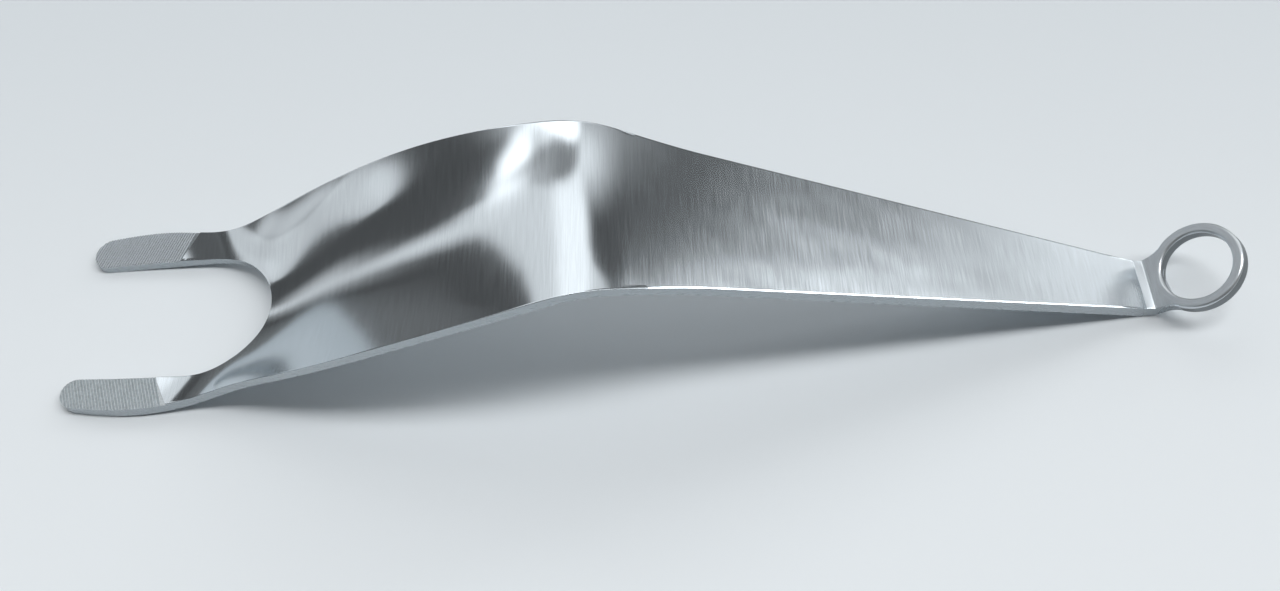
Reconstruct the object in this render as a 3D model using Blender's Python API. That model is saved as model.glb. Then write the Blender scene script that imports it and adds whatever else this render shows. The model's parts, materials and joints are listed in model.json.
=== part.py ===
import math

import bmesh
import bpy
import numpy as np
from mathutils import Vector

# Femoral elevator: a forked, double-bent retractor blade of stainless steel
# with a loop ring welded on the handle end. Metres, +Z up. Stations are measured
# along X from the prong tips towards the ring, and Z = 0 is the table. At the end
# the whole part is moved along X to stand with its middle on the origin.

# Blade plate
blade_length = 0.2920
fork_thickness = 0.0031
handle_end_thickness = 0.0041
edge_round = 0.0004
edge_round_steps = 2

# Outline, as half widths along the blade
prong_tip_half_width = 0.0256
prong_half_width = 0.0276
waist_half_width = 0.0257
shoulder_half_width = 0.0277
widest_half_width = 0.0293
upper_fork_half_width = 0.0276
crest_half_width = 0.0240
handle_start_half_width = 0.0202
handle_end_half_width = 0.0078

# Places of those widths
prong_x = 0.0220
waist_x = 0.0420
shoulder_x = 0.0640
widest_x = 0.0920
upper_fork_x = 0.1220
crest_x = 0.1480
handle_start_x = 0.1720

# Height of the edge above the table, from the tips over the crest
tip_rim_height = 0.0035
toe_rim_height = 0.0050
toe_bend_rim_height = 0.0071
fork_root_rim_height = 0.0124
lower_fork_rim_height = 0.0230
upper_fork_rim_height = 0.0386
crest_foot_rim_height = 0.0496
crest_rim_height = 0.0523
handle_top_rim_height = 0.0500
handle_end_height = 0.0042

# Places of those heights
toe_x = 0.0260
toe_bend_x = 0.0380
fork_root_x = 0.0480
lower_fork_x = 0.0660
upper_rim_x = 0.0960
crest_foot_x = 0.1260
crest_top_x = 0.1420
handle_top_x = 0.1520

# Depth of the trough below the edge, along the blade
tip_trough = 0.0018
prong_trough = 0.0012
toe_trough = 0.0028
waist_trough = 0.0052
notch_trough = 0.0079
fork_trough = 0.0067
upper_fork_trough = 0.0046
crest_foot_trough = 0.0022
crest_trough = 0.0009
handle_trough = 0.0003
toe_trough_x = 0.0320
fork_trough_x = 0.0780
upper_trough_x = 0.1000
crest_trough_x = 0.1500
handle_trough_x = 0.1900

# Notch between the prongs
notch_depth = 0.0543
notch_half_width = 0.0182
notch_round_length = 0.0213
notch_mouth_half_width = 0.0172

# Ground sole under the prongs
sole_wall = 0.0040
sole_end_x = 0.0260
sole_blend_end_x = 0.0480

# Milled grip pads on the prongs, whose depth is gauged near the tips
pad_depth = 0.0003
pad_gauge_x = 0.0040
pad_inner_end_x = 0.0250
pad_outer_end_x = 0.0297
pad_cutter_margin = 0.0040

# End ring and the neck that carries it
ring_bore_radius = 0.0095
ring_outer_radius = 0.0123
ring_thickness = 0.0040
ring_corner_round = 0.0005
ring_tilt = math.radians(44.5)
neck_inner_radius = 0.0026
neck_land = 0.0005
neck_flare = 0.0010
joint_gap = 0.0003

# Fineness
tip_rungs = 5
tip_first_angle = math.radians(14)
prong_rungs = 7
notch_rungs = 13
fork_rungs = 26
handle_rungs = 10
half_columns = 6
neck_bend_steps = 8
neck_side_steps = 4
neck_columns = 10
neck_flare_power = 3
ring_steps = 56
shaded_sharp_angle = math.radians(35)
rounded_edge_angle = math.radians(50)


def clear_scene():
    for obj in list(bpy.data.objects):
        bpy.data.objects.remove(obj, do_unlink=True)


def steel(name, colour, roughness):
    material = bpy.data.materials.new(name)
    material.use_nodes = True
    shader = material.node_tree.nodes["Principled BSDF"]
    shader.inputs["Base Color"].default_value = (*colour, 1.0)
    shader.inputs["Metallic"].default_value = 1.0
    shader.inputs["Roughness"].default_value = roughness
    return material


def new_object(name, bm, material):
    mesh = bpy.data.meshes.new(name)
    bmesh.ops.recalc_face_normals(bm, faces=bm.faces)
    bm.to_mesh(mesh)
    bm.free()
    mesh.materials.append(material)
    mesh.shade_smooth()
    mesh.set_sharp_from_angle(angle=shaded_sharp_angle)
    obj = bpy.data.objects.new(name, mesh)
    bpy.context.scene.collection.objects.link(obj)
    return obj


def smooth_curve(places, values, end_slope):
    """Natural cubic through the stations that runs on as a straight line."""
    x = np.array(places, dtype=float)
    y = np.array(values, dtype=float)
    h = np.diff(x)
    slope = np.diff(y) / h
    count = len(x)
    system = np.zeros((count, count))
    right = np.zeros(count)
    system[0, 0] = 1.0
    for i in range(1, count - 1):
        system[i, i - 1:i + 2] = h[i - 1], 2 * (h[i - 1] + h[i]), h[i]
        right[i] = 6 * (slope[i] - slope[i - 1])
    system[-1, -2:] = h[-1], 2 * h[-1]
    right[-1] = 6 * (end_slope - slope[-1])
    bend = np.linalg.solve(system, right)

    def curve(at):
        if at >= x[-1]:
            return y[-1] + end_slope * (at - x[-1])
        i = int(np.clip(np.searchsorted(x, at) - 1, 0, count - 2))
        u = at - x[i]
        first = slope[i] - h[i] * (2 * bend[i] + bend[i + 1]) / 6
        return y[i] + u * (first + u * (bend[i] / 2 + u * (bend[i + 1] - bend[i]) / (6 * h[i])))

    return curve


def ease(value, start, end):
    u = min(max((value - start) / (end - start), 0.0), 1.0)
    return u * u * (3 - 2 * u)


handle_taper = (handle_end_half_width - handle_start_half_width) / (blade_length - handle_start_x)
handle_fall = (handle_end_height - handle_top_rim_height) / (blade_length - handle_top_x)
handle_fall_angle = math.atan(-handle_fall)

half_width = smooth_curve(
    [0.0, prong_x, waist_x, shoulder_x, widest_x, upper_fork_x, crest_x, handle_start_x],
    [prong_tip_half_width, prong_half_width, waist_half_width, shoulder_half_width,
     widest_half_width, upper_fork_half_width, crest_half_width, handle_start_half_width],
    handle_taper)

rim_height = smooth_curve(
    [0.0, toe_x, toe_bend_x, fork_root_x, lower_fork_x, upper_rim_x, crest_foot_x,
     crest_top_x, handle_top_x],
    [tip_rim_height, toe_rim_height, toe_bend_rim_height, fork_root_rim_height,
     lower_fork_rim_height, upper_fork_rim_height, crest_foot_rim_height,
     crest_rim_height, handle_top_rim_height],
    handle_fall)

trough_depth = smooth_curve(
    [0.0, prong_x, toe_trough_x, waist_x, notch_depth, fork_trough_x, upper_trough_x,
     crest_foot_x, crest_trough_x, handle_trough_x],
    [tip_trough, prong_trough, toe_trough, waist_trough, notch_trough, fork_trough,
     upper_fork_trough, crest_foot_trough, crest_trough, handle_trough],
    -handle_trough / (blade_length - handle_trough_x))


def top_height(x, y):
    across = y / half_width(x)
    return rim_height(x) - trough_depth(x) * (1 - across * across)


def rise_normal(x, y):
    """Square to the top face along the blade, but upright across it."""
    step = 0.0002
    rise = (top_height(x + step, y) - top_height(x - step, y)) / (2 * step)
    return Vector((-rise, 0.0, 1.0)).normalized()


def plate_thickness(x):
    growth = max(0.0, (x - crest_x) / (blade_length - crest_x))
    return fork_thickness + (handle_end_thickness - fork_thickness) * growth


def under_point(x, y):
    """The point of the underside below a point of the top face."""
    offset = Vector((x, y, top_height(x, y))) - rise_normal(x, y) * plate_thickness(x)
    sole = Vector((x, y, max(0.0, rim_height(x) - sole_wall)))
    return sole.lerp(offset, ease(x, sole_end_x, sole_blend_end_x))


def notch_round_start():
    return notch_depth - notch_round_length


def notch_half_width_at(x):
    if x < notch_round_start():
        opening = notch_half_width - notch_mouth_half_width
        return notch_half_width - opening * (1 - x / notch_round_start()) ** 2
    u = min(1.0, (x - notch_round_start()) / notch_round_length)
    return notch_half_width * math.sqrt(1 - u * u)


def half_rungs():
    """Inner and outer ends of each rung of one half, from a tip to the ring."""
    rungs = []
    inner_tip = notch_half_width_at(0.0)
    tip_radius = (half_width(0.0) - inner_tip) / 2
    for k in range(tip_rungs):
        angle = tip_first_angle + (math.pi / 2 - tip_first_angle) * k / tip_rungs
        x = tip_radius * (1 - math.cos(angle))
        middle = (half_width(x) + notch_half_width_at(x)) / 2
        reach = (half_width(x) - notch_half_width_at(x)) / 2 * math.sin(angle)
        rungs.append(((x, middle - reach), (x, middle + reach)))
    for k in range(prong_rungs):
        x = tip_radius + (notch_round_start() - tip_radius) * k / prong_rungs
        rungs.append(((x, notch_half_width_at(x)), (x, half_width(x))))
    for k in range(notch_rungs + 1):
        angle = math.pi / 2 * k / notch_rungs
        x = notch_round_start() + notch_round_length * math.sin(angle)
        y = notch_half_width * math.cos(angle)
        outer_x = notch_round_start() + notch_round_length * (k / notch_rungs)
        rungs.append(((x, y), (outer_x, half_width(outer_x))))
    for k in range(1, fork_rungs + 1):
        x = notch_depth + (handle_start_x - notch_depth) * k / fork_rungs
        rungs.append(((x, 0.0), (x, half_width(x))))
    for k in range(1, handle_rungs + 1):
        x = handle_start_x + (blade_length - handle_start_x) * k / handle_rungs
        rungs.append(((x, 0.0), (x, half_width(x))))
    return rungs


def sheet_to_solid(bm, under):
    """Close a sheet of top faces with its underside and its walls."""
    top_faces = list(bm.faces)
    edges = [edge for edge in bm.edges if len(edge.link_faces) == 1]
    below = {vert: bm.verts.new(under(vert.co)) for vert in list(bm.verts)}
    for face in top_faces:
        bm.faces.new([below[vert] for vert in reversed(face.verts)])
    for edge in edges:
        first, second = edge.verts
        bm.faces.new((first, second, below[second], below[first]))


def round_edges(obj, width):
    bevel = obj.modifiers.new("rounded_edges", "BEVEL")
    bevel.width = width
    bevel.segments = edge_round_steps
    bevel.limit_method = "ANGLE"
    bevel.angle_limit = rounded_edge_angle


def pad_cutter(side):
    """A block whose lower face is the milled flat of one prong's grip pad."""
    inner = notch_half_width_at(pad_inner_end_x)
    outer = half_width(pad_outer_end_x)
    middle = (inner + outer) / 2
    margin = pad_cutter_margin
    end_slope = (pad_outer_end_x - pad_inner_end_x) / (outer - inner)
    lean = (top_height(pad_inner_end_x, outer) - top_height(pad_inner_end_x, inner)) / (outer - inner)
    near = top_height(pad_gauge_x, middle) - pad_depth
    far = top_height(pad_outer_end_x, middle) - pad_depth
    rise = (far - near) / (pad_outer_end_x - pad_gauge_x)

    def flat(x, y):
        return near + rise * (x - pad_gauge_x) + lean * (y - middle)

    corners = [
        (-margin, inner - margin), (-margin, outer + margin),
        (pad_outer_end_x + end_slope * margin, outer + margin),
        (pad_inner_end_x - end_slope * margin, inner - margin),
    ]
    bm = bmesh.new()
    floor = [bm.verts.new((x, side * y, flat(x, y))) for x, y in corners]
    lid = [bm.verts.new((x, side * y, flat(x, y) + 2 * margin)) for x, y in corners]
    bm.faces.new(floor)
    bm.faces.new(lid)
    for k in range(4):
        following = (k + 1) % 4
        bm.faces.new((floor[k], floor[following], lid[following], lid[k]))
    cutter = new_object("pad_cutter", bm, steel("cutter", (0.5, 0.5, 0.5), 0.5))
    cutter.hide_render = True
    cutter.display_type = "WIRE"
    return cutter


def make_blade(material):
    """Forked blade plate: trough, crest bend and tapered handle in one piece."""
    bm = bmesh.new()
    rows = []
    for (inner_x, inner_y), (outer_x, outer_y) in half_rungs():
        row = []
        for k in range(half_columns + 1):
            share = k / half_columns
            x = inner_x + (outer_x - inner_x) * share
            y = inner_y + (outer_y - inner_y) * share
            row.append(bm.verts.new((x, y, top_height(x, y))))
        rows.append(row)
    for row, following in zip(rows, rows[1:]):
        for k in range(half_columns):
            bm.faces.new((row[k], following[k], following[k + 1], row[k + 1]))
    mirrored = bmesh.ops.duplicate(bm, geom=bm.verts[:] + bm.edges[:] + bm.faces[:])["geom"]
    copies = [item for item in mirrored if isinstance(item, bmesh.types.BMVert)]
    bmesh.ops.scale(bm, vec=(1, -1, 1), verts=copies)
    flipped = [item for item in mirrored if isinstance(item, bmesh.types.BMFace)]
    bmesh.ops.reverse_faces(bm, faces=flipped)
    bmesh.ops.remove_doubles(bm, verts=bm.verts, dist=0.00001)
    sheet_to_solid(bm, lambda co: under_point(co.x, co.y))
    blade = new_object("blade", bm, material)
    round_edges(blade, edge_round)
    for side in (-1, 1):
        cut = blade.modifiers.new("grip_pad", "BOOLEAN")
        cut.operation = "DIFFERENCE"
        cut.solver = "EXACT"
        cut.object = pad_cutter(side)
    return blade


def neck_frame():
    """Point and direction of the neck's top line after an angle of its bend."""
    start = Vector((blade_length, 0, handle_end_height))
    down = Vector((math.sin(handle_fall_angle), 0, math.cos(handle_fall_angle)))
    centre = start + down * neck_inner_radius

    def at(turn):
        lean = turn - handle_fall_angle
        outward = Vector((math.sin(lean), 0, -math.cos(lean)))
        return centre + outward * neck_inner_radius, Vector((math.cos(lean), 0, math.sin(lean)))

    return at


neck_bend = handle_fall_angle + ring_tilt


def ring_centre():
    """Centre of the ring's upper face."""
    point, direction = neck_frame()(neck_bend)
    return point + direction * (neck_land + ring_outer_radius)


def make_ring(material):
    """Turned ring with rounded corners, tilted up from the handle."""
    inner, outer, top, bottom = ring_bore_radius, ring_outer_radius, 0.0, -ring_thickness
    full = ring_corner_round
    part = full * (1 - math.sqrt(0.5))
    profile = [
        (outer - full, top), (outer - part, top - part), (outer, top - full),
        (outer, bottom + full), (outer - part, bottom + part), (outer - full, bottom),
        (inner + full, bottom), (inner + part, bottom + part), (inner, bottom + full),
        (inner, top - full), (inner + part, top - part), (inner + full, top),
    ]
    bm = bmesh.new()
    loop = [bm.verts.new((r, 0, z)) for r, z in profile]
    section = [bm.edges.new((loop[k], loop[(k + 1) % len(loop)])) for k in range(len(loop))]
    bmesh.ops.spin(bm, geom=loop + section, cent=(0, 0, 0), axis=(0, 0, 1),
                   angle=2 * math.pi, steps=ring_steps, use_merge=True)
    bmesh.ops.remove_doubles(bm, verts=bm.verts, dist=0.00001)
    ring = new_object("end_ring", bm, material)
    ring.location = ring_centre()
    ring.rotation_euler = (0, -ring_tilt, 0)
    return ring


def make_weld(material):
    """Blended weld neck that turns up from the handle end into the ring."""
    at = neck_frame()
    centre = ring_centre()
    across = Vector((0, 1, 0))
    start_turn = joint_gap / neck_inner_radius
    reach = ring_outer_radius + joint_gap
    side_end = handle_end_half_width + neck_flare
    _, along = at(neck_bend)
    bm = bmesh.new()
    tops = []
    unders = {}
    for k in range(neck_bend_steps + 1):
        turn = start_turn + (neck_bend - start_turn) * k / neck_bend_steps
        point, direction = at(turn)
        drop = Vector((direction.z, 0, -direction.x))
        share = k / neck_bend_steps
        thickness = handle_end_thickness + (ring_thickness - handle_end_thickness) * share
        tops.append([])
        for j in range(neck_columns + 1):
            t = 2 * j / neck_columns - 1
            co = point + across * t * handle_end_half_width
            vert = bm.verts.new(co)
            tops[-1].append(vert)
            unders[tuple(vert.co)] = co + drop * thickness
    drop = Vector((along.z, 0, -along.x))
    for k in range(1, neck_side_steps + 1):
        share = k / neck_side_steps
        tops.append([])
        for j in range(neck_columns + 1):
            t = 2 * j / neck_columns - 1
            wide = t * side_end
            end_u = -math.sqrt(reach ** 2 - wide ** 2)
            start_u = -(ring_outer_radius + neck_land)
            u = start_u + (end_u - start_u) * share
            v = t * (handle_end_half_width + neck_flare * share ** neck_flare_power)
            co = centre + along * u + across * v
            vert = bm.verts.new(co)
            tops[-1].append(vert)
            unders[tuple(vert.co)] = co + drop * ring_thickness
    for row, following in zip(tops, tops[1:]):
        for j in range(neck_columns):
            bm.faces.new((row[j], following[j], following[j + 1], row[j + 1]))
    sheet_to_solid(bm, lambda co: unders[tuple(co)])
    weld = new_object("ring_weld", bm, material)
    round_edges(weld, edge_round)
    return weld


def stand_on_origin(objects):
    """Move the part so that the middle of its footprint is the origin."""
    bpy.context.view_layer.update()
    graph = bpy.context.evaluated_depsgraph_get()
    points = []
    for obj in objects:
        mesh = obj.evaluated_get(graph).to_mesh()
        points += [obj.matrix_world @ vert.co for vert in mesh.vertices]
    lowest = Vector([min(point[axis] for point in points) for axis in range(3)])
    highest = Vector([max(point[axis] for point in points) for axis in range(3)])
    middle = (lowest + highest) / 2
    base = bpy.data.objects.new("part_base", None)
    bpy.context.scene.collection.objects.link(base)
    base.location = (-middle.x, -middle.y, -lowest.z)
    for obj in bpy.context.scene.objects:
        if obj.type == "MESH":
            obj.parent = base


clear_scene()
blade = make_blade(steel("blade_steel", (0.60, 0.62, 0.64), 0.26))
ring = make_ring(steel("ring_steel", (0.62, 0.64, 0.66), 0.22))
weld = make_weld(steel("weld_steel", (0.58, 0.60, 0.62), 0.30))
stand_on_origin([blade, ring, weld])
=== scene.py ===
import json
import math
import bmesh
import bpy
import numpy as np
from mathutils import Matrix, Vector

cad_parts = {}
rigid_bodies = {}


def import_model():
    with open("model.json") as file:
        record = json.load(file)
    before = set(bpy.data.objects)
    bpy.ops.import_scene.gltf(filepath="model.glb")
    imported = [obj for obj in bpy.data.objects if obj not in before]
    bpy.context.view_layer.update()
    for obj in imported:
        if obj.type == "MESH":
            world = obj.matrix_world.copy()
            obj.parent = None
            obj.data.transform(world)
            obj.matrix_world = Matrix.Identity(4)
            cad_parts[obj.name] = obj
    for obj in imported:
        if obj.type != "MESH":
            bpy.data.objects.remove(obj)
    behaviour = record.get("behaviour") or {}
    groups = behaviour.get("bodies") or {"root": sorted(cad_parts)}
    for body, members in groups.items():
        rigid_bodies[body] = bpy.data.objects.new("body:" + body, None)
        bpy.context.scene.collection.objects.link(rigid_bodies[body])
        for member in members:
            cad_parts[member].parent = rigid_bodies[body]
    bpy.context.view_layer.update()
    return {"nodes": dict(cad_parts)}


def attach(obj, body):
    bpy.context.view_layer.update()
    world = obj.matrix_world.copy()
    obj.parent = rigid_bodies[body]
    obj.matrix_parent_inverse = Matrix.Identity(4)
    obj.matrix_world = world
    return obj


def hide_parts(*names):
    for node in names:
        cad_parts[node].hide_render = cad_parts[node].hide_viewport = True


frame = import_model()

print("frame loaded:", sorted(frame["nodes"]))

# Stations run from the prong tips, and the middle of the footprint is the origin
tipsToOrigin = -0.157625
uvPerMetre = 100  # a UV unit is a centimetre


def deselectAll():
    for obj in bpy.context.view_layer.objects:
        obj.select_set(False)
    bpy.context.view_layer.objects.active = None


def pick(obj):
    deselectAll()
    obj.select_set(True)
    bpy.context.view_layer.objects.active = obj


def newPrimitive(name, makeIt):
    deselectAll()
    makeIt()
    obj = bpy.context.view_layer.objects.active
    obj.name = name
    obj.data.name = name
    return obj


def applyModifiers(obj):
    pick(obj)
    for modifier in list(obj.modifiers):
        bpy.ops.object.modifier_apply(modifier=modifier.name)


def mendMesh(obj, merge, closeEnds=False):
    pick(obj)
    bpy.ops.object.mode_set(mode="EDIT")
    bpy.ops.mesh.select_all(action="SELECT")
    if merge:
        bpy.ops.mesh.remove_doubles(threshold=merge)
    if closeEnds:
        bpy.ops.mesh.fill_holes(sides=0)
        bpy.ops.mesh.select_all(action="SELECT")
    bpy.ops.mesh.normals_make_consistent(inside=False)
    bpy.ops.object.mode_set(mode="OBJECT")


def smoothFaces(obj, degrees):
    pick(obj)
    bpy.ops.object.shade_smooth_by_angle(angle=math.radians(degrees))
    weigh = obj.modifiers.new("flatFacesRule", "WEIGHTED_NORMAL")
    weigh.mode = "FACE_AREA"
    weigh.weight = 50
    weigh.keep_sharp = True
    applyModifiers(obj)


def layBrushing(obj, rule):
    while obj.data.uv_layers:
        obj.data.uv_layers.remove(obj.data.uv_layers[0])
    layer = obj.data.uv_layers.new(name="brushing")
    vertices = obj.data.vertices
    loops = obj.data.loops
    for polygon in obj.data.polygons:
        for k in polygon.loop_indices:
            layer.data[k].uv = rule(vertices[loops[k].vertex_index].co, polygon)


def toOrigin(obj):
    obj.data.transform(Matrix.Translation((tipsToOrigin, 0.0, 0.0)))
    obj.data.update()


def easeIn(value, start, end):
    u = min(max((value - start) / (end - start), 0.0), 1.0)
    return u * u * (3 - 2 * u)


# Grain of every steel: the noise that draws the brush lines, and what it does to colour and gloss
grain = {
    "detail": 3.0,
    "roughness": 0.6,
    "low": 0.3,
    "high": 0.7,
    "glossSpread": 0.1,
    "waveDetail": 1.0,
}

# Steel finishes; the edge, far pad and ring wall colours hold painted shade, and the weld's holds painted
# light: depths in metres, lines per UV unit, or per metre where onUv is False
steelLooks = {
    "brushedBlade": {"colour": (0.575, 0.63, 0.67), "shade": 0.06, "roughness": 0.101, "along": 0.84,
                     "endHaze": 0.17, "hazeStart": 0.088, "hazeEnd": 0.134,
                     "lines": (26, 0.9, 0.9), "onUv": True, "lineDepth": 0.0000016,
                     "waves": 75, "waveDepth": 0.00002},
    # painted shade: the ground walls' colour is darker than the blade's steel, standing in for the shade
    # the walls take
    "groundEdgePaintedShade": {"colour": (0.42, 0.455, 0.48), "shade": 0.03, "roughness": 0.28, "along": 0.0,
                   "lines": (2, 8, 2), "onUv": True, "lineDepth": 0.0000010,
                   "waves": 120, "waveDepth": 0.000002},
    "nearPad": {"colour": (0.50, 0.545, 0.57), "shade": 0.16, "roughness": 0.38, "along": 0.0,
                "lines": (1500, 1500, 1500), "onUv": False, "lineDepth": 0.000004,
                "waves": 400, "waveDepth": 0.000006},
    # painted shade: the far pad is milled like the near pad, but its colour is made much darker to stand
    # in for the light that falls on it
    "farPadPaintedShade": {"colour": (0.20, 0.22, 0.235), "shade": 0.16, "roughness": 0.40, "along": 0.0,
               "lines": (1500, 1500, 1500), "onUv": False, "lineDepth": 0.000004,
               "waves": 400, "waveDepth": 0.000006},
    "satinRingFace": {"colour": (0.64, 0.69, 0.73), "shade": 0.08, "roughness": 0.55, "along": 0.0,
                      "lines": (2, 26, 1), "onUv": True, "lineDepth": 0.000002,
                      "waves": 500, "waveDepth": 0.000010},
    # painted shade: the ring walls' dark colour stands in for the dark surroundings they reflect
    "turnedRingWallPaintedShade": {"colour": (0.20, 0.215, 0.225), "shade": 0.12, "roughness": 0.38, "along": 0.0,
                       "lines": (2, 26, 1), "onUv": True, "lineDepth": 0.000002,
                       "waves": 300, "waveDepth": 0.000006},
    "softRingCorner": {"colour": (0.62, 0.66, 0.69), "shade": 0.04, "roughness": 0.36, "along": 0.0,
                       "lines": (2, 26, 1), "onUv": True, "lineDepth": 0.0000008,
                       "waves": 300, "waveDepth": 0.000002},
    # painted light: the weld's colour is lighter than the blade steel it is ground flush with, to brighten
    # the bend
    "groundWeldPaintedLight": {"colour": (0.78, 0.85, 0.90), "shade": 0.03, "roughness": 0.32, "along": 0.0,
                   "lines": (300, 60, 300), "onUv": False, "lineDepth": 0.0000004,
                   "waves": 200, "waveDepth": 0.000003},
}


def steelMaterial(name):
    look = steelLooks[name]
    material = bpy.data.materials.new(name)
    material.use_nodes = True
    nodes = material.node_tree.nodes
    links = material.node_tree.links
    shader = nodes["Principled BSDF"]
    shader.inputs["Metallic"].default_value = 1.0
    place = nodes.new("ShaderNodeTexCoord")
    stretch = nodes.new("ShaderNodeMapping")
    stretch.inputs["Scale"].default_value = look["lines"]
    links.new(place.outputs["UV" if look["onUv"] else "Object"], stretch.inputs["Vector"])
    lines = nodes.new("ShaderNodeTexNoise")
    lines.inputs["Scale"].default_value = 1.0
    lines.inputs["Detail"].default_value = grain["detail"]
    lines.inputs["Roughness"].default_value = grain["roughness"]
    links.new(stretch.outputs["Vector"], lines.inputs["Vector"])
    tone = nodes.new("ShaderNodeValToRGB")
    tone.color_ramp.elements[0].position = grain["low"]
    tone.color_ramp.elements[0].color = (*[c * (1 - look["shade"]) for c in look["colour"]], 1)
    tone.color_ramp.elements[1].position = grain["high"]
    tone.color_ramp.elements[1].color = (*[c * (1 + look["shade"]) for c in look["colour"]], 1)
    links.new(lines.outputs["Fac"], tone.inputs["Fac"])
    links.new(tone.outputs["Color"], shader.inputs["Base Color"])
    gloss = nodes.new("ShaderNodeMapRange")
    gloss.inputs["From Min"].default_value = grain["low"]
    gloss.inputs["From Max"].default_value = grain["high"]
    gloss.inputs["To Min"].default_value = look["roughness"] * (1 - grain["glossSpread"])
    gloss.inputs["To Max"].default_value = look["roughness"] * (1 + grain["glossSpread"])
    links.new(lines.outputs["Fac"], gloss.inputs["Value"])
    links.new(gloss.outputs["Result"], shader.inputs["Roughness"])
    if "endHaze" in look:
        # duller towards the weld
        parts = nodes.new("ShaderNodeSeparateXYZ")
        links.new(place.outputs["Object"], parts.inputs[0])
        haze = nodes.new("ShaderNodeMapRange")
        haze.inputs["From Min"].default_value = look["hazeStart"]
        haze.inputs["From Max"].default_value = look["hazeEnd"]
        haze.inputs["To Max"].default_value = look["endHaze"]
        links.new(parts.outputs[0], haze.inputs["Value"])
        total = nodes.new("ShaderNodeMath")
        links.new(gloss.outputs["Result"], total.inputs[0])
        links.new(haze.outputs["Result"], total.inputs[1])
        links.new(total.outputs[0], shader.inputs["Roughness"])
    if look["along"]:
        shader.inputs["Anisotropic"].default_value = look["along"]
        tangent = nodes.new("ShaderNodeTangent")
        tangent.direction_type = "UV_MAP"
        tangent.uv_map = "brushing"
        links.new(tangent.outputs["Tangent"], shader.inputs["Tangent"])
    soft = nodes.new("ShaderNodeTexNoise")
    soft.inputs["Scale"].default_value = look["waves"]
    soft.inputs["Detail"].default_value = grain["waveDetail"]
    links.new(place.outputs["Object"], soft.inputs["Vector"])
    waveBump = nodes.new("ShaderNodeBump")
    waveBump.inputs["Distance"].default_value = look["waveDepth"]
    links.new(soft.outputs["Fac"], waveBump.inputs["Height"])
    lineBump = nodes.new("ShaderNodeBump")
    lineBump.inputs["Distance"].default_value = look["lineDepth"]
    links.new(lines.outputs["Fac"], lineBump.inputs["Height"])
    links.new(waveBump.outputs["Normal"], lineBump.inputs["Normal"])
    links.new(lineBump.outputs["Normal"], shader.inputs["Normal"])
    return material


def finishWith(obj, materials):
    obj.data.materials.clear()
    for material in materials:
        obj.data.materials.append(material)


# Formed blade: the stations are (distance from the tips, value)
bladeShape = {
    "length": 0.2920,
    "forkThickness": 0.0031,
    "handleThickness": 0.0041,
    "growthStart": 0.1480,
    "edgeRound": 0.00016,
    "roundSteps": 8,
    "halfWidth": [(0.0, .0256), (.0220, .0276), (.0420, .0257), (.0640, .0277), (.0920, .0293),
                  (.1220, .0276), (.1480, .0240), (.1720, .0202)],
    "handleEndHalfWidth": 0.0078,
    "rimHeight": [(0.0, .0035), (.0260, .0050), (.0380, .0071), (.0480, .0124), (.0660, .0230),
                  (.0960, .0386), (.1260, .0496), (.1420, .0523), (.1520, .0500)],
    "handleEndHeight": 0.0042,
    "troughDepth": [(0.0, .0018), (.0220, .0012), (.0320, .0028), (.0420, .0052), (.0543, .0079),
                    (.0780, .0067), (.1000, .0046), (.1260, .0022), (.1500, .0009), (.1900, .0003)],
    "notchDepth": 0.0543,
    "notchHalfWidth": 0.0182,
    "notchRound": 0.0213,
    "notchMouth": 0.0172,
    "soleWall": 0.0040,
    "soleEnd": 0.0260,
    "soleBlendEnd": 0.0480,
    "tipStart": 0.000125,
    "tipFirstAngle": 5,
    "tipRungs": 14,
    "prongRungs": 44,
    "notchRungs": 44,
    "forkRungs": 150,
    "handleRungs": 70,
    "columns": 16,
    "slopeStep": 0.0002,
    "edgeCrowding": 1.3,
    "widestLastStep": 0.3,
    "breakWidth": 0.00046,
    "nearBreak": 0.30,
    "farBreak": 0.36,
    "breakStart": 0.149,
    "breakFull": 0.157,
    "breakFade": 0.284,
    "breakEnd": 0.291,
    "merge": 0.00001,
    "wallTilt": 0.4,
    "smoothAngle": 14,
}


def stationCurve(stations, endSlope):
    x = np.array([station[0] for station in stations])
    y = np.array([station[1] for station in stations])
    h = np.diff(x)
    slope = np.diff(y) / h
    count = len(x)
    system = np.zeros((count, count))
    right = np.zeros(count)
    system[0, 0] = 1.0
    for i in range(1, count - 1):
        system[i, i - 1:i + 2] = h[i - 1], 2 * (h[i - 1] + h[i]), h[i]
        right[i] = 6 * (slope[i] - slope[i - 1])
    system[-1, -2:] = h[-1], 2 * h[-1]
    right[-1] = 6 * (endSlope - slope[-1])
    bend = np.linalg.solve(system, right)

    def curve(at):
        if at >= x[-1]:
            return float(y[-1] + endSlope * (at - x[-1]))
        i = int(np.clip(np.searchsorted(x, at) - 1, 0, count - 2))
        u = at - x[i]
        first = slope[i] - h[i] * (2 * bend[i] + bend[i + 1]) / 6
        return float(y[i] + u * (first + u * (bend[i] / 2 + u * (bend[i + 1] - bend[i]) / (6 * h[i]))))

    return curve


def slopeToEnd(stations, value):
    return (value - stations[-1][1]) / (bladeShape["length"] - stations[-1][0])


handleFall = slopeToEnd(bladeShape["rimHeight"], bladeShape["handleEndHeight"])
handleTaper = slopeToEnd(bladeShape["halfWidth"], bladeShape["handleEndHalfWidth"])
halfWidth = stationCurve(bladeShape["halfWidth"], handleTaper)
rimHeight = stationCurve(bladeShape["rimHeight"], handleFall)
troughDepth = stationCurve(bladeShape["troughDepth"], slopeToEnd(bladeShape["troughDepth"], 0.0))


def topPoint(x, y):
    across = y / halfWidth(x)
    return Vector((x, y, rimHeight(x) - troughDepth(x) * (1 - across * across)))


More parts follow.
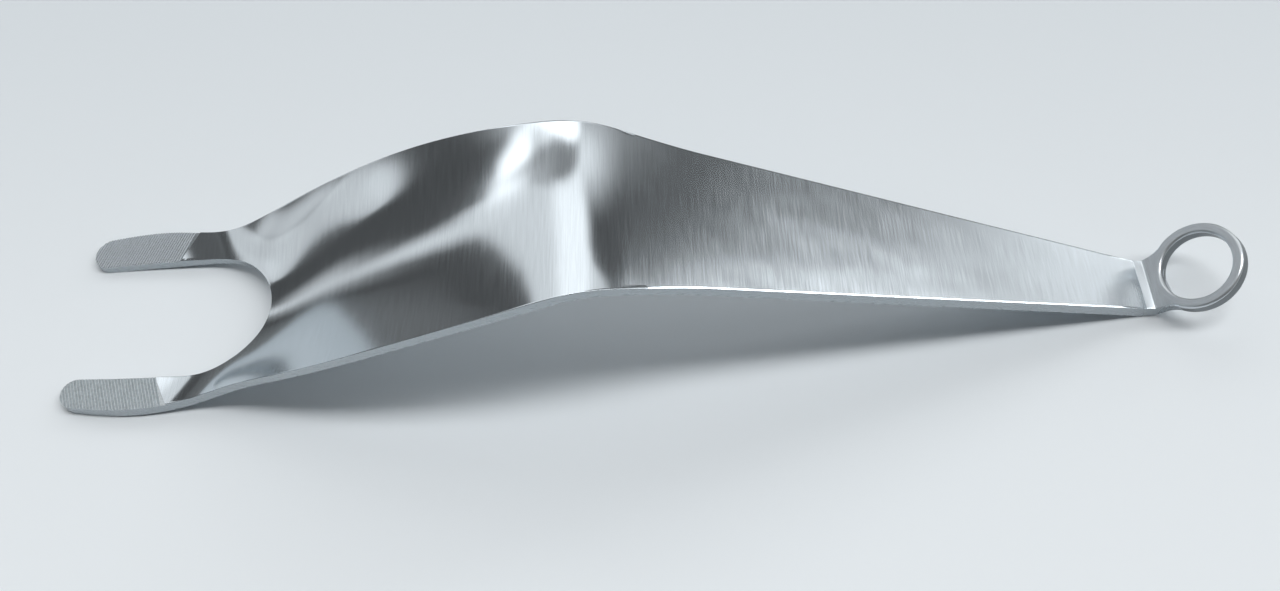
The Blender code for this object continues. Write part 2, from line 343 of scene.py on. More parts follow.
# Fine flats break the handle's edges: the near one catches the light, the far one is dark
def finishedTop(x, y):
    b = bladeShape
    point = topPoint(x, y)
    slope = b["nearBreak"] if y < 0 else b["farBreak"]
    fade = easeIn(x, b["breakStart"], b["breakFull"]) - easeIn(x, b["breakFade"], b["breakEnd"])
    point.z -= max(0.0, b["breakWidth"] - halfWidth(x) + abs(y)) * slope * fade
    return point


def plateNormal(x, y):
    step = bladeShape["slopeStep"]
    rise = (topPoint(x + step, y).z - topPoint(x - step, y).z) / (2 * step)
    return Vector((-rise, 0.0, 1.0)).normalized()


def underPoint(x, y):
    b = bladeShape
    growth = max(0.0, (x - b["growthStart"]) / (b["length"] - b["growthStart"]))
    thickness = b["forkThickness"] + (b["handleThickness"] - b["forkThickness"]) * growth
    offset = topPoint(x, y) - plateNormal(x, y) * thickness
    sole = Vector((x, y, max(0.0, rimHeight(x) - b["soleWall"])))
    return sole.lerp(offset, easeIn(x, b["soleEnd"], b["soleBlendEnd"]))


def faceNormal(surface, x, y):
    step = bladeShape["slopeStep"]
    along = surface(x + step, y) - surface(x - step, y)
    across = surface(x, y + step) - surface(x, y - step)
    return along.cross(across).normalized()


def notchHalfWidthAt(x):
    b = bladeShape
    start = b["notchDepth"] - b["notchRound"]
    if x < start:
        return b["notchHalfWidth"] - (b["notchHalfWidth"] - b["notchMouth"]) * (1 - x / start) ** 2
    u = min(1.0, (x - start) / b["notchRound"])
    return b["notchHalfWidth"] * math.sqrt(1 - u * u)


def bladeRungs():
    b = bladeShape
    rungs = []
    notchStart = b["notchDepth"] - b["notchRound"]
    tipRadius = (halfWidth(0.0) - notchHalfWidthAt(0.0)) / 2
    for k in range(b["tipRungs"]):
        angle = math.radians(b["tipFirstAngle"] + (90 - b["tipFirstAngle"]) * k / b["tipRungs"])
        x = b["tipStart"] + (tipRadius - b["tipStart"]) * (1 - math.cos(angle))
        middle = (halfWidth(x) + notchHalfWidthAt(x)) / 2
        reach = (halfWidth(x) - notchHalfWidthAt(x)) / 2 * math.sin(angle)
        rungs.append(((x, middle - reach), (x, middle + reach)))
    for k in range(b["prongRungs"]):
        x = tipRadius + (notchStart - tipRadius) * k / b["prongRungs"]
        rungs.append(((x, notchHalfWidthAt(x)), (x, halfWidth(x))))
    for k in range(b["notchRungs"] + 1):
        angle = math.pi / 2 * k / b["notchRungs"]
        inner = (notchStart + b["notchRound"] * math.sin(angle), b["notchHalfWidth"] * math.cos(angle))
        x = notchStart + b["notchRound"] * k / b["notchRungs"]
        rungs.append((inner, (x, halfWidth(x))))
    handleStart = b["halfWidth"][-1][0]
    for start, end, count in ((b["notchDepth"], handleStart, b["forkRungs"]),
                              (handleStart, b["length"], b["handleRungs"])):
        for k in range(1, count + 1):
            x = start + (end - start) * k / count
            rungs.append(((x, 0.0), (x, halfWidth(x))))
    return rungs


# The top face stops short of the outline by the edge's radius
def insetRungs(rungs):
    inset = bladeShape["edgeRound"]
    inner = [Vector(rung[0]) for rung in rungs]
    outer = [Vector(rung[1]) for rung in rungs]
    notchCount = bladeShape["tipRungs"] + bladeShape["prongRungs"] + bladeShape["notchRungs"]
    outline = list(reversed(outer)) + inner[:notchCount + 1]
    moved = []
    for k, point in enumerate(outline):
        before = outline[max(k - 1, 0)]
        after = outline[min(k + 1, len(outline) - 1)]
        if k == len(outline) - 1:
            after = Vector((point.x, -before.y))
        run = (after - before).normalized()
        moved.append(point + Vector((-run.y, run.x)) * inset)
    outerIn = list(reversed(moved[:len(outer)]))
    innerIn = moved[len(outer):] + inner[notchCount + 1:]
    outerIn[-1] = outer[-1] + Vector((0.0, -inset))
    return innerIn, outerIn


# The last column but one lies where the broken edge begins
def buildBlade():
    b = bladeShape
    innerIn, outerIn = insetRungs(bladeRungs())
    last = len(innerIn) - 1
    blade = newPrimitive("formedBlade", lambda: bpy.ops.mesh.primitive_grid_add(
        x_subdivisions=last, y_subdivisions=b["columns"], size=1.0))
    for vert in blade.data.vertices:
        k = round((vert.co.x + 0.5) * last)
        column = round((vert.co.y + 0.5) * b["columns"]) / (b["columns"] - 1)
        wide = (outerIn[k] - innerIn[k]).length
        lastStep = min((b["breakWidth"] - b["edgeRound"]) / wide, b["widestLastStep"])
        share = (1 - lastStep) * (1 - max(1 - column, 0.0) ** b["edgeCrowding"])
        at = innerIn[k].lerp(outerIn[k], 1.0 if column > 1 else share)
        vert.co = topPoint(at.x, at.y)
    mirror = blade.modifiers.new("otherHalf", "MIRROR")
    mirror.use_axis = (False, True, False)
    mirror.use_clip = True
    mirror.merge_threshold = b["merge"]
    applyModifiers(blade)
    mendMesh(blade, b["merge"])
    for vert in blade.data.vertices:
        vert.co = finishedTop(vert.co.x, vert.co.y)
    rollEdges(blade)
    mendMesh(blade, 0, closeEnds=True)
    return blade


# Underside, walls and rounded edges, all but across the handle end, where the neck is welded on
def rollEdges(blade):
    reach = bladeShape["edgeRound"]
    bm = bmesh.new()
    bm.from_mesh(blade.data)
    if sum(face.normal.z for face in bm.faces) < 0:
        bmesh.ops.reverse_faces(bm, faces=bm.faces)
    topFaces = list(bm.faces)
    weldLine = bladeShape["length"] - bladeShape["merge"]
    rim = [edge for edge in bm.edges
           if edge.is_boundary and min(vert.co.x for vert in edge.verts) < weldLine]
    outward = {}
    for edge in rim:
        run = edge.verts[1].co - edge.verts[0].co
        side = Vector((run.y, -run.x, 0.0)).normalized()
        middle = (edge.verts[0].co + edge.verts[1].co) / 2
        if side.dot(middle - edge.link_faces[0].calc_center_median()) < 0:
            side = -side
        for vert in edge.verts:
            outward.setdefault(vert, []).append(side)
    under = {}
    for vert in list(bm.verts):
        under[vert] = bm.verts.new(underPoint(vert.co.x, vert.co.y))
    for face in topFaces:
        bm.faces.new([under[vert] for vert in reversed(face.verts)])
    rolls = {}
    for vert, sides in outward.items():
        out = (sides[0] + sides[-1]).normalized()
        if vert.co.x > weldLine:
            out = Vector((0.0, math.copysign(1.0, vert.co.y), 0.0))
        edgePoint = vert.co + out * reach
        upper = edgeArc(vert.co.copy(), out, finishedTop, edgePoint, 1)
        lower = edgeArc(under[vert].co.copy(), out, underPoint, edgePoint, -1)
        rolls[vert] = [vert] + [bm.verts.new(co) for co in upper + list(reversed(lower))] + [under[vert]]
    for edge in rim:
        first, second = (rolls[vert] for vert in edge.verts)
        for k in range(len(first) - 1):
            bm.faces.new((first[k], second[k], second[k + 1], first[k + 1]))
    bmesh.ops.recalc_face_normals(bm, faces=bm.faces)
    bm.to_mesh(blade.data)
    bm.free()


# An arc that leaves the face smoothly and ends square on the wall
def edgeArc(start, out, surface, edgePoint, sign):
    reach = bladeShape["edgeRound"]
    steps = bladeShape["roundSteps"]
    wall = (topPoint(edgePoint.x, edgePoint.y) - underPoint(edgePoint.x, edgePoint.y)).normalized()
    outFlat = (out - wall * out.dot(wall)).normalized()
    normal = faceNormal(surface, start.x, start.y)
    if normal.dot(wall) < 0:
        normal = -normal
    lean = math.atan(-normal.dot(outFlat) / normal.dot(wall)) * sign
    radius = reach / (1 + math.sin(lean))
    centre = start + outFlat * (reach - radius) - wall * sign * radius * math.cos(lean)
    points = []
    for k in range(1, steps + 1):
        angle = (math.pi / 2 + lean) * (1 - k / steps)
        points.append(centre + outFlat * radius * math.cos(angle) + wall * sign * radius * math.sin(angle))
    return points


# U runs along the blade, so the gloss spreads along it, as across transverse brush lines
def bladeBrushing(co, polygon):
    n = polygon.normal
    if abs(n.z) >= max(abs(n.x), abs(n.y)):
        return co.x * uvPerMetre, co.y * uvPerMetre
    if abs(n.y) >= abs(n.x):
        return co.x * uvPerMetre, co.z * uvPerMetre
    return co.y * uvPerMetre, co.z * uvPerMetre


# Milled grip pads
padShape = {
    "depth": 0.0003,
    "gaugeX": 0.0040,
    "innerEnd": 0.0250,
    "outerEnd": 0.0297,
    "margin": 0.004,
    "clearHeight": 0.006,
    "grooveTurn": 21.0,
    "grooveLength": 0.034,
    "toolTop": 0.0004,
    "endGap": 0.6,
    "slopeStep": 0.001,
    "merge": 0.000001,
    "near": {"steel": "nearPad", "pitch": 0.00080, "width": 0.00054, "depth": 0.00024, "count": 36},
    "far": {"steel": "farPadPaintedShade", "pitch": 0.00070, "width": 0.00050, "depth": 0.00020, "count": 41},
}


def padFlat(x, y):
    p = padShape
    inner = notchHalfWidthAt(p["innerEnd"])
    outer = halfWidth(p["outerEnd"])
    middle = (inner + outer) / 2
    near = topPoint(p["gaugeX"], middle).z - p["depth"]
    far = topPoint(p["outerEnd"], middle).z - p["depth"]
    rise = (far - near) / (p["outerEnd"] - p["gaugeX"])
    lean = (topPoint(p["innerEnd"], outer).z - topPoint(p["innerEnd"], inner).z) / (outer - inner)
    return near + rise * (x - p["gaugeX"]) + lean * (abs(y) - middle)


def millPad(blade, side, cut, steel):
    p = padShape
    inner = notchHalfWidthAt(p["innerEnd"])
    outer = halfWidth(p["outerEnd"])
    slope = (p["outerEnd"] - p["innerEnd"]) / (outer - inner)
    reach = {(-1, -1): (-p["margin"], inner - p["margin"]),
             (-1, 1): (-p["margin"], outer + p["margin"]),
             (1, 1): (p["outerEnd"] + slope * p["margin"], outer + p["margin"]),
             (1, -1): (p["innerEnd"] - slope * p["margin"], inner - p["margin"])}
    block = newPrimitive("padMill", lambda: bpy.ops.mesh.primitive_cube_add(size=2.0))
    for vert in block.data.vertices:
        x, y = reach[(round(vert.co.x), round(vert.co.y))]
        high = p["clearHeight"] if vert.co.z > 0 else 0.0
        vert.co = (x, side * y, padFlat(x, y) + high)
    mendMesh(block, 0)
    finishWith(block, [steel])
    cutAway(blade, block)

    tool = grooveTool(cut)
    tool.data.transform(grooveFrame(side, cut))
    mendMesh(tool, 0)
    finishWith(tool, [steel])
    cutAway(blade, tool)


# One V tool per groove, in a row
def grooveTool(cut):
    tool = newPrimitive("grooveTools", lambda: bpy.ops.mesh.primitive_cylinder_add(
        vertices=3, radius=1.0, depth=padShape["grooveLength"], end_fill_type="NGON"))
    half, top = cut["width"] / 2, padShape["toolTop"]
    grow = 1 + top / cut["depth"]
    corners = [(-half, top), (0.0, -cut["depth"]), (half, top)]
    angles = sorted({round(math.atan2(vert.co.y, vert.co.x), 4) for vert in tool.data.vertices})
    profile = dict(zip(angles, corners))
    for vert in tool.data.vertices:
        wide, high = profile[round(math.atan2(vert.co.y, vert.co.x), 4)]
        vert.co = (wide * grow, vert.co.z, high)
    row = tool.modifiers.new("row", "ARRAY")
    row.use_relative_offset = False
    row.use_constant_offset = True
    row.constant_offset_displace = (cut["pitch"], 0.0, 0.0)
    row.count = cut["count"]
    applyModifiers(tool)
    return tool


# Grooves run parallel to the pad's end line, the last one just inside it
def grooveFrame(side, cut):
    turn = math.radians(padShape["grooveTurn"])
    inner = notchHalfWidthAt(padShape["innerEnd"])
    middle = (inner + halfWidth(padShape["innerEnd"])) / 2
    step = padShape["slopeStep"]
    tilt = Vector((padFlat(0, middle) - padFlat(step, middle),
                   side * (padFlat(0, middle) - padFlat(0, middle + step)), step)).normalized()
    xAxis = Vector((math.cos(turn), -side * math.sin(turn), 0.0))
    xAxis = (xAxis - tilt * xAxis.dot(tilt)).normalized()
    endX = padShape["innerEnd"] - cut["pitch"] * padShape["endGap"] + math.tan(turn) * (middle - inner)
    startX = endX - cut["pitch"] * (cut["count"] - 1) / math.cos(turn)
    place = Vector((startX, side * middle, padFlat(startX, middle)))
    return Matrix.Translation(place) @ Matrix((xAxis, tilt.cross(xAxis), tilt)).transposed().to_4x4()


def cutAway(obj, tool):
    cut = obj.modifiers.new("cut", "BOOLEAN")
    cut.operation = "DIFFERENCE"
    cut.solver = "EXACT"
    cut.object = tool
    cut.material_mode = "TRANSFER"
    applyModifiers(obj)
    bpy.data.objects.remove(tool, do_unlink=True)


# End ring, turned; in its own plane U runs away from the handle and V across
ringShape = {
    "bore": 0.0095,
    "outer": 0.0123,
    "thickness": 0.0040,
    "corner": 0.0007,
    "tilt": math.radians(44.5),
    "steps": 240,
    "cornerSegments": 5,
    "faceCuts": 7,
    "merge": 0.000005,
    "faceFlatness": 0.98,
    "wallFlatness": 0.15,
    "smoothAngle": 30,
}

# Weld neck, ground smooth: a crease across its bend, fillets into the ring's wall, a crowned top
neckShape = {
    "innerRadius": 0.0026,
    "land": 0.0005,
    "holdTurn": math.radians(24),
    "holdFrom": 0.08,
    "creaseAt": 0.80,
    "creaseWidth": 0.08,
    "waist": 0.00008,
    "flareTurn": math.radians(52),
    "crown": 0.00040,
    "crownEnd": -0.0065,
    "sunk": 0.000002,
    "tuck": 0.0004,
    "bendRows": 44,
    "flareRows": 22,
    "columns": 26,
    "cornerSteps": 5,
    "faceMargin": 0.00001,
    "merge": 0.0000005,
    "ringFaceStart": 0.0001,
    "topTilt": 0.5,
    "wallTilt": 0.6,
    "smoothAngle": 35,
}
fallAngle = math.atan(-handleFall)
neckTurn = fallAngle + ringShape["tilt"]
acrossAxis = Vector((0, 1, 0))


def leanAxes(lean):
    return Vector((math.cos(lean), 0, math.sin(lean))), Vector((-math.sin(lean), 0, math.cos(lean)))


def neckArc(turn):
    start = Vector((bladeShape["length"], 0, bladeShape["handleEndHeight"]))
    radius = neckShape["innerRadius"]
    centre = start + leanAxes(-fallAngle)[1] * radius
    return centre - leanAxes(turn - fallAngle)[1] * radius


def ringCentre():
    return neckArc(neckTurn) + leanAxes(ringShape["tilt"])[0] * (neckShape["land"] + ringShape["outer"])


# How far the grinder took the top face down beside the middle of the neck
def groundDrop(u, v):
    fade = 1 - easeIn(u, -(ringShape["outer"] + neckShape["land"]), neckShape["crownEnd"])
    return neckShape["crown"] * (v / bladeShape["handleEndHalfWidth"]) ** 2 * fade


def buildRing():
    r = ringShape
    middle = (r["outer"] + r["bore"]) / 2
    ring = newPrimitive("turnedRing", lambda: bpy.ops.mesh.primitive_plane_add(
        size=1.0, location=(middle, 0, -r["thickness"] / 2), rotation=(math.pi / 2, 0, 0)))
    ring.scale = (r["outer"] - r["bore"], r["thickness"], 1)
    pick(ring)
    bpy.ops.object.transform_apply(location=True, rotation=True, scale=True)
    bpy.ops.object.mode_set(mode="EDIT")
    bpy.ops.mesh.select_all(action="SELECT")
    bpy.ops.mesh.bevel(offset=r["corner"], segments=r["cornerSegments"], affect="VERTICES")
    bpy.ops.mesh.delete(type="ONLY_FACE")
    selectEdges(ring, lambda a, b: abs(a.z - b.z) < r["merge"] and abs(a.x - b.x) > r["corner"])
    bpy.ops.mesh.subdivide(number_cuts=r["faceCuts"])
    bpy.ops.mesh.select_all(action="SELECT")
    bpy.ops.mesh.spin(steps=r["steps"], angle=2 * math.pi, center=(0, 0, 0), axis=(0, 0, 1),
                      use_auto_merge=True)
    bpy.ops.object.mode_set(mode="OBJECT")
    mendMesh(ring, r["merge"])
    steels = ("satinRingFace", "turnedRingWallPaintedShade", "softRingCorner")
    finishWith(ring, [steelMaterial(name) for name in steels])
    # the walls take the ring wall steel, whose dark colour is painted shade
    for polygon in ring.data.polygons:
        flatness = abs(polygon.normal.z)
        onWall = 1 if flatness < r["wallFlatness"] else 2
        polygon.material_index = 0 if flatness > r["faceFlatness"] else onWall
    layBrushing(ring, ringBrushing)
    for vert in ring.data.vertices:
        if vert.co.z > -r["thickness"] / 2:
            vert.co.z -= groundDrop(vert.co.x, vert.co.y)
    ring.data.transform(Matrix.Translation(ringCentre()) @ Matrix.Rotation(-r["tilt"], 4, "Y"))
    return ring


def selectEdges(obj, test):
    bm = bmesh.from_edit_mesh(obj.data)
    for edge in bm.edges:
        edge.select_set(test(edge.verts[0].co, edge.verts[1].co))
    bmesh.update_edit_mesh(obj.data)


def ringBrushing(co, polygon):
    home = math.atan2(polygon.center.y, polygon.center.x)
    turn = math.atan2(co.y, co.x) - home
    turn = home + math.atan2(math.sin(turn), math.cos(turn))
    return turn * ringShape["outer"] * uvPerMetre, (co.xy.length + co.z) * uvPerMetre


# The top line turns a little, runs straight, turns sharply at the crease and ends as the plain arc does
def neckTopLine():
    n = neckShape
    rows = n["bendRows"]
    creaseStart = n["creaseAt"] - n["creaseWidth"] / 2
    creaseEnd = n["creaseAt"] + n["creaseWidth"] / 2
    turns = []
    for k in range(rows + 1):
        hold = easeIn(k / rows, 0.0, n["holdFrom"])
        crease = easeIn(k / rows, creaseStart, creaseEnd)
        turns.append(n["holdTurn"] * hold + (neckTurn - n["holdTurn"]) * crease)
    points = [Vector((0, 0, 0))]
    for first, second in zip(turns, turns[1:]):
        points.append(points[-1] + leanAxes((first + second) / 2 - fallAngle)[0])
    reach = neckArc(neckTurn) - neckArc(0.0)
    scale = reach.length / points[-1].length
    miss = reach - points[-1] * scale
    return [(neckArc(0.0) + point * scale + miss * k / rows, turn)
            for k, (point, turn) in enumerate(zip(points, turns))]


def neckLoop(topAt, underAt, out, up, radius):
    columns, steps = neckShape["columns"], neckShape["cornerSteps"]
    across = [2 * k / columns - 1 for k in range(columns + 1)]
    bows = [math.pi / 2 * k / steps for k in range(1, steps + 1)]

    def corner(start, side, sign, bow):
        return start + out[side] * radius * math.sin(bow) - up * sign * radius * (1 - math.cos(bow))

    loop = [topAt(t) for t in across]
    loop += [corner(topAt(1), 1, 1, bow) for bow in bows]
    loop += [corner(underAt(1), 1, -1, bow) for bow in reversed(bows)]
    loop += [underAt(t) for t in reversed(across)]
    loop += [corner(underAt(-1), -1, -1, bow) for bow in bows]
    loop += [corner(topAt(-1), -1, 1, bow) for bow in reversed(bows)]
    return loop


def bendLoops():
    n = neckShape
    b = bladeShape
    radius = b["edgeRound"]
    out = {1: acrossAxis, -1: -acrossAxis}
    loops = []
    rows = list(enumerate(neckTopLine()))
    rows.insert(0, (-1, rows[0][1]))
    for k, (point, turn) in rows:
        share = max(k, 0) / n["bendRows"]
        _, up = leanAxes(turn - fallAngle)
        arcTurn = neckTurn * share
        _, arcUp = leanAxes(arcTurn - fallAngle)
        thickness = b["handleThickness"] + (ringShape["thickness"] - b["handleThickness"]) * share
        under = neckArc(arcTurn) - arcUp * thickness
        half = b["handleEndHalfWidth"] - n["waist"] * 4 * share * (1 - share) - radius
        crown = n["crown"] * easeIn(share, 0.0, 1.0)
        if k < 0:
            # a row tucked into the blade, so the faces meet without a step
            shift = leanAxes(-fallAngle)[0] * -n["tuck"]
            point = point + shift - up * n["sunk"]
            under = under + shift + up * n["sunk"]
            half -= n["sunk"]
        loops.append(neckLoop(
            lambda t: point + acrossAxis * t * half - up * crown * t * t,
            lambda t: under + acrossAxis * t * half, out, up, radius))
    return loops


def flareLoops():
    n = neckShape
    r = ringShape
    along, up = leanAxes(r["tilt"])
    centre = ringCentre()
    startU = -(r["outer"] + n["land"])
    endU = -r["outer"] * math.cos(n["flareTurn"])
    startV = bladeShape["handleEndHalfWidth"]
    run = endU - startU
    startSlope = 4 * n["waist"] / (neckTurn * n["innerRadius"]) * run
    rise = r["outer"] * math.sin(n["flareTurn"]) - startV - startSlope
    bendRise = run / math.tan(n["flareTurn"]) - startSlope
    cubic = bendRise - 2 * rise
    square = rise - cubic
    faceReach = r["outer"] - r["corner"] - n["faceMargin"]
    loops = []
    for k in range(1, n["flareRows"] + 1):
        q = k / n["flareRows"]
        edgeU = startU + run * q
        edgeV = startV + startSlope * q + square * q * q + cubic * q ** 3
        slope = startSlope + 2 * square * q + 3 * cubic * q * q
        outU, outV = -slope / math.hypot(slope, run), run / math.hypot(slope, run)
        radius = bladeShape["edgeRound"] + (r["corner"] - bladeShape["edgeRound"]) * q
        insetU, insetV = edgeU - outU * radius, edgeV - outV * radius

        def flatPlace(t, low):
            v = t * insetV
            mid = startU + (-math.sqrt(faceReach ** 2 - v * v) - startU) * q
            side = startU + (-math.sqrt(faceReach ** 2 - insetV ** 2) - startU) * q
            u = mid + t * t * (insetU - side)
            drop = low if low else groundDrop(u, v) + n["sunk"]
            return centre + along * u + acrossAxis * v - up * drop

        out = {1: along * outU + acrossAxis * outV, -1: along * outU - acrossAxis * outV}
        loops.append(neckLoop(lambda t: flatPlace(t, 0.0),
                              lambda t: flatPlace(t, r["thickness"] - n["sunk"]), out, up, radius))
    return loops


def buildNeck():
    loops = bendLoops() + flareLoops()
    around = len(loops[0])
    last = len(loops) - 1
    neck = newPrimitive("neckWeld", lambda: bpy.ops.mesh.primitive_grid_add(
        x_subdivisions=last, y_subdivisions=around, size=1.0))
    for vert in neck.data.vertices:
        k = round((vert.co.x + 0.5) * last)
        vert.co = loops[k][round((vert.co.y + 0.5) * around) % around]
    mendMesh(neck, neckShape["merge"], closeEnds=True)
    return neck


bladeSteel = steelMaterial("brushedBlade")
blade = buildBlade()
edgeSteel = steelMaterial("groundEdgePaintedShade")
finishWith(blade, [bladeSteel, edgeSteel])
# walls take the edge steel, whose darker colour is painted shade
for polygon in blade.data.polygons:
    polygon.material_index = 1 if abs(polygon.normal.z) < bladeShape["wallTilt"] else 0
print("blade formed", len(blade.data.polygons))
for side, cut in ((-1, padShape["near"]), (1, padShape["far"])):
    millPad(blade, side, cut, steelMaterial(cut["steel"]))
mendMesh(blade, padShape["merge"])
layBrushing(blade, bladeBrushing)
smoothFaces(blade, bladeShape["smoothAngle"])
toOrigin(blade)
print("pads milled", len(blade.data.polygons))

ring = buildRing()
smoothFaces(ring, ringShape["smoothAngle"])
toOrigin(ring)
print("ring turned", len(ring.data.polygons))

neck = buildNeck()
finishWith(neck, [steelMaterial("groundWeldPaintedLight"), ring.data.materials[0], edgeSteel])
# the bend takes the weld steel, lightened as painted light; the walls take the edge steel, darkened as
# painted shade
for polygon in neck.data.polygons:
    beyondBend = polygon.center.x > neckArc(neckTurn).x + neckShape["ringFaceStart"]
    onTop = 1 if beyondBend and polygon.normal.z > neckShape["topTilt"] else 0
    polygon.material_index = 2 if abs(polygon.normal.y) > neckShape["wallTilt"] else onTop
layBrushing(neck, lambda co, polygon: (co.y * uvPerMetre, co.x * uvPerMetre))
smoothFaces(neck, neckShape["smoothAngle"])
toOrigin(neck)
print("neck welded", len(neck.data.polygons))

for piece, node, slot in ((blade, "blade", "blade_steel"), (ring, "end_ring", "ring_steel"),
                          (neck, "ring_weld", "weld_steel")):
    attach(piece, "root")
    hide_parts(node)

# Table, a little paler towards the camera: its colour gradient is a painted light falloff, darker away
# from the camera
tableLook = {
    "size": 30.0,
    "nearColour": (0.80, 0.845, 0.875),
    "farColour": (0.65, 0.70, 0.735),
    "nearY": -0.14,
    "farY": 0.20,
    "roughness": 0.7,
    "specular": 0.2,
}


def layTable():
    t = tableLook
    table = newPrimitive("paleTable", lambda: bpy.ops.mesh.primitive_plane_add(size=t["size"]))
    paint = bpy.data.materials.new("paleTableTop")
    paint.use_nodes = True
    nodes = paint.node_tree.nodes
    links = paint.node_tree.links
    shader = nodes["Principled BSDF"]
    shader.inputs["Roughness"].default_value = t["roughness"]
    shader.inputs["Specular IOR Level"].default_value = t["specular"]
    place = nodes.new("ShaderNodeTexCoord")
    parts = nodes.new("ShaderNodeSeparateXYZ")
    share = nodes.new("ShaderNodeMapRange")
    share.interpolation_type = "SMOOTHSTEP"
    share.inputs["From Min"].default_value = t["nearY"]
    share.inputs["From Max"].default_value = t["farY"]
    ramp = nodes.new("ShaderNodeValToRGB")
    ramp.color_ramp.elements[0].color = (*t["nearColour"], 1)
    ramp.color_ramp.elements[1].color = (*t["farColour"], 1)
    links.new(place.outputs["Object"], parts.inputs[0])
    links.new(parts.outputs[1], share.inputs["Value"])
    links.new(share.outputs["Result"], ramp.inputs["Fac"])
    links.new(ramp.outputs["Color"], shader.inputs["Base Color"])
    finishWith(table, [paint])


layTable()
print("table laid")

# Studio sky with soft cards: u and v are the sky as seen from straight below, 1 at the horizon
studio = {
    "room": 0.10,
    "lowestZ": -0.6,
    # name, centre, half size, turn in degrees, softness, level
    "cards": [
        ("front", (0.0, -0.45), (0.75, 0.40), 0, 0.30, 0.08),
        ("overhead", (0.10, 0.012), (0.50, 0.045), 0, 0.35, 11.8),
        ("behindGlow", (0.06, -0.42), (0.28, 0.09), 12, 0.80, 0.35),
        ("behindEdge", (-0.32, -0.34), (0.035, 0.16), 28, 0.50, 0.8),
        ("behindSide", (0.42, -0.40), (0.035, 0.16), -24, 0.50, 0.6),
        ("farLeft", (-0.45, 0.85), (0.60, 0.30), 0, 0.30, 0.20),
        ("leftFlag", (-0.76, 0.27), (0.70, 0.29), -21, 0.03, 0.1),
        ("farFlag", (-0.43, 0.35), (0.10, 0.20), 15, 0.03, 0.1),
        ("rightFlag", (0.40, 0.37), (0.03, 0.58), -77, 0.08, 0.1),
        ("rightBox", (0.46, 0.41), (0.065, 0.29), 80, 0.23, 3.0),
        ("farWindow", (0.09, 0.46), (0.60, 0.10), 10, 0.04, 1.0),
        ("window", (-0.10, 0.36), (0.34, 0.11), 45, 0.40, 1.5),
        ("windowLeft", (-0.39, 0.29), (0.027, 0.08), 42, 0.43, 2.4),
        ("windowLow", (-0.02, 0.27), (0.22, 0.028), 5, 0.89, 1.2),
        ("shade", (-0.22, 0.28), (0.17, 0.024), -6, 0.35, 0.3),
        ("streakEnd", (-0.99, 0.51), (0.26, 0.06), -13, 0.97, 1.1),
        ("streak", (-0.54, 0.39), (0.21, 0.023), -21, 0.97, 1.0),
        ("sideCard", (-0.64, 0.11), (0.08, 0.12), 12, 0.04, 0.9),
        ("sideTail", (-0.64, -0.04), (0.028, 0.07), -2, 0.33, 1.1),
        ("sideGlow", (-0.59, 0.14), (0.034, 0.07), 17, 0.44, 1.1),
        ("rightShade", (0.36, 0.22), (0.055, 0.26), -58, 0.31, 0.7),
        ("rightGlow", (0.45, 0.38), (0.11, 0.025), 6, 0.41, 4.7),
        ("windowEdge", (-0.17, 0.24), (0.14, 0.016), 3, 0.29, 2.3),
        ("toeFlag", (-0.27, 0.11), (0.15, 0.09), 0, 0.20, 0.14),
    ],
}


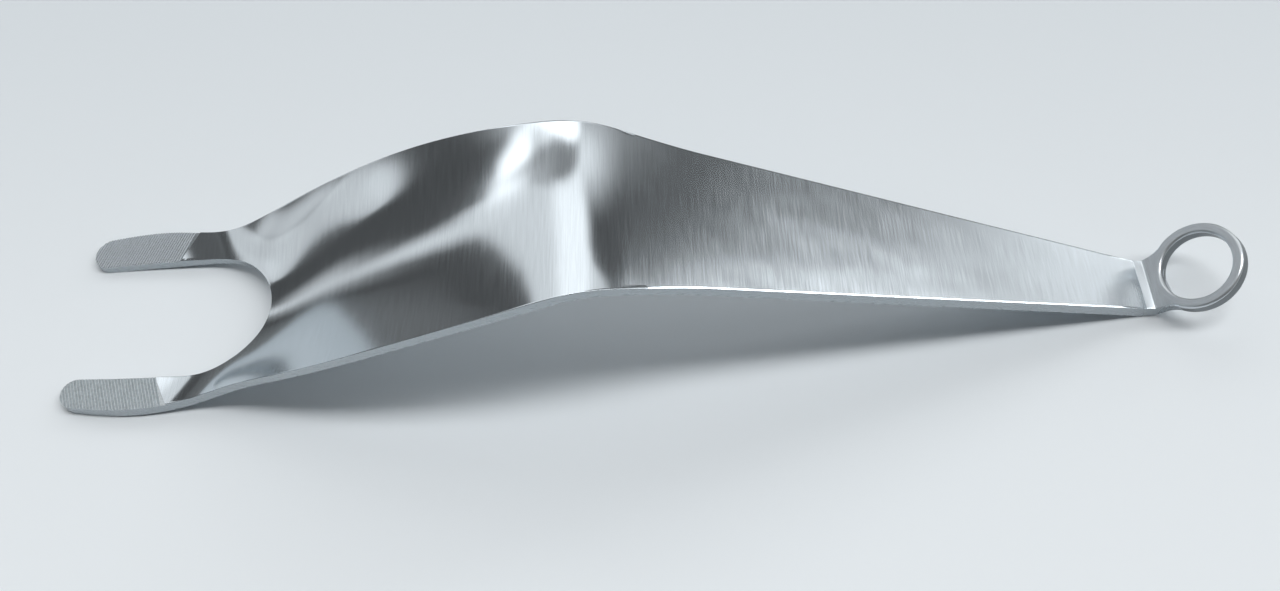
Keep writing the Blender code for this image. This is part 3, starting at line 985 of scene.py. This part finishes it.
def paintSky():
    world = bpy.data.worlds.new("studioSky")
    bpy.context.scene.world = world
    world.use_nodes = True
    nodes = world.node_tree.nodes
    links = world.node_tree.links
    background = nodes["Background"]
    direction = nodes.new("ShaderNodeTexCoord")
    parts = nodes.new("ShaderNodeSeparateXYZ")
    links.new(direction.outputs["Generated"], parts.inputs[0])
    floorZ = nodes.new("ShaderNodeMath")
    floorZ.operation = "MAXIMUM"
    floorZ.inputs[1].default_value = studio["lowestZ"]
    links.new(parts.outputs[2], floorZ.inputs[0])
    lift = nodes.new("ShaderNodeMath")
    lift.inputs[1].default_value = 1.0
    links.new(floorZ.outputs[0], lift.inputs[0])
    flat = nodes.new("ShaderNodeCombineXYZ")
    for k in (0, 1):
        divide = nodes.new("ShaderNodeMath")
        divide.operation = "DIVIDE"
        links.new(parts.outputs[k], divide.inputs[0])
        links.new(lift.outputs[0], divide.inputs[1])
        links.new(divide.outputs[0], flat.inputs[k])
    level = None
    for name, centre, half, turn, softness, value in studio["cards"]:
        place = nodes.new("ShaderNodeMapping")
        place.vector_type = "TEXTURE"
        place.label = name
        place.inputs["Location"].default_value = (*centre, 0)
        place.inputs["Rotation"].default_value = (0, 0, math.radians(turn))
        place.inputs["Scale"].default_value = (*half, 1)
        links.new(flat.outputs[0], place.inputs["Vector"])
        away = nodes.new("ShaderNodeVectorMath")
        away.operation = "LENGTH"
        links.new(place.outputs["Vector"], away.inputs[0])
        mask = nodes.new("ShaderNodeMapRange")
        mask.interpolation_type = "SMOOTHSTEP"
        mask.inputs["From Min"].default_value = 1 - softness
        mask.inputs["From Max"].default_value = 1 + softness
        mask.inputs["To Min"].default_value = 1.0
        mask.inputs["To Max"].default_value = 0.0
        links.new(away.outputs["Value"], mask.inputs["Value"])
        blend = nodes.new("ShaderNodeMix")
        links.new(mask.outputs["Result"], blend.inputs["Factor"])
        if level is None:
            blend.inputs["A"].default_value = studio["room"]
        else:
            links.new(level, blend.inputs["A"])
        blend.inputs["B"].default_value = value
        level = blend.outputs["Result"]
    links.new(level, background.inputs["Strength"])
    background.inputs["Color"].default_value = (1, 1, 1, 1)


paintSky()
print("studio lit with", len(studio["cards"]), "cards")

# Camera at the photograph's place
cameraSetup = {
    "place": (-0.004505, -0.16589, 0.28957),
    "yaw": -0.620,
    "pitch": 56.268,
    "roll": -1.368,
    "focalPixels": 1200.3,
    "middleRow": 226.3,
    "frame": (1280, 591),
    "sensorWidth": 36.0,
    "clip": (0.01, 100),
}


def setCamera():
    c = cameraSetup
    yaw, pitch, roll = (math.radians(c[k]) for k in ("yaw", "pitch", "roll"))
    forward = Vector((-math.sin(yaw) * math.cos(pitch), math.cos(yaw) * math.cos(pitch), -math.sin(pitch)))
    level = Vector((math.cos(yaw), math.sin(yaw), 0.0))
    upright = level.cross(forward)
    right = level * math.cos(roll) + upright * math.sin(roll)
    up = upright * math.cos(roll) - level * math.sin(roll)
    data = bpy.data.cameras.new("photoCamera")
    wide, high = c["frame"]
    data.sensor_width = c["sensorWidth"]
    data.lens = data.sensor_width * c["focalPixels"] / wide
    data.shift_y = -(high / 2 - c["middleRow"]) / wide
    data.clip_start, data.clip_end = c["clip"]
    camera = bpy.data.objects.new("photoCamera", data)
    bpy.context.scene.collection.objects.link(camera)
    turn = Matrix((right, up, -forward)).transposed().to_4x4()
    camera.matrix_world = Matrix.Translation(c["place"]) @ turn
    bpy.context.scene.camera = camera


setCamera()
print("camera set")
bpy.context.scene.view_settings.view_transform = "Standard"
